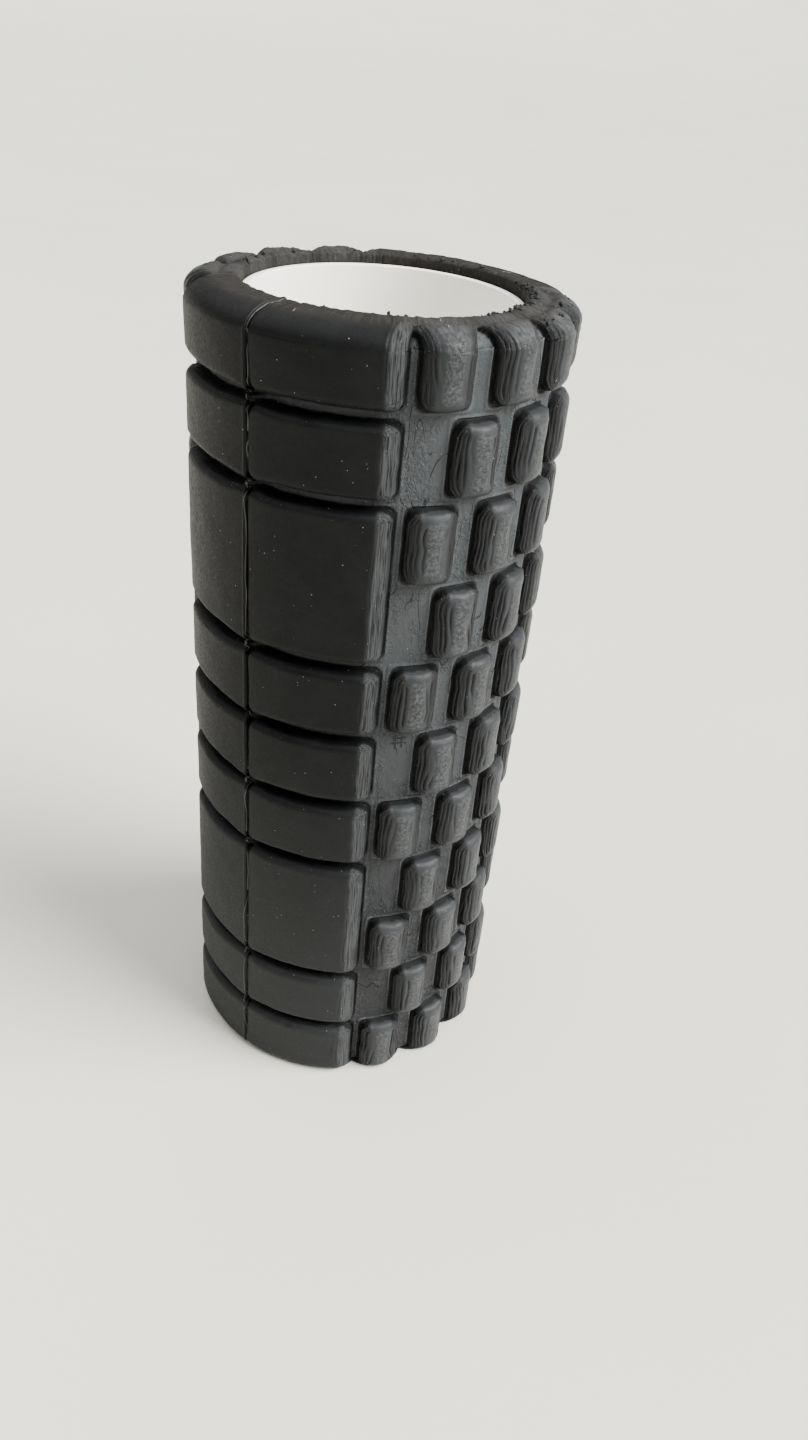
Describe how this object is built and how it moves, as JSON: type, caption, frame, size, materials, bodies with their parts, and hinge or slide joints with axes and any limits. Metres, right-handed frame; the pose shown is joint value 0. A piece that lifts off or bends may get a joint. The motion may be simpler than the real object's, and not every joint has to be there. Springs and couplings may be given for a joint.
{
  "type": "foam roller",
  "caption": "Hollow-core massage roller: a rigid plastic tube inside a moulded foam sleeve with wide smooth bands and zones of small raised blocks.",
  "frame": {"origin": "centre of the bounding box's base: on the roller's axis, at the end that it stands on", "axes": "+Z runs along the roller's axis, from the end that it stands on to the end that shows its core; -Y is the side that the picture is taken from"},
  "size_m": [0.136, 0.136, 0.33],
  "materials": {
    "tube": "extruded, satin, warm white",
    "cement": "dried contact cement, amber",
    "foam": "moulded closed-cell EVA foam with a skin, charcoal black, satin",
    "seam": "dried cement line, dark, slightly shiny"
  },
  "bodies": {
    "root": {"core_tube": "tube", "adhesive_film": "cement", "foam_sleeve": "foam", "seam_bead": "seam"}
  },
  "joints": []
}
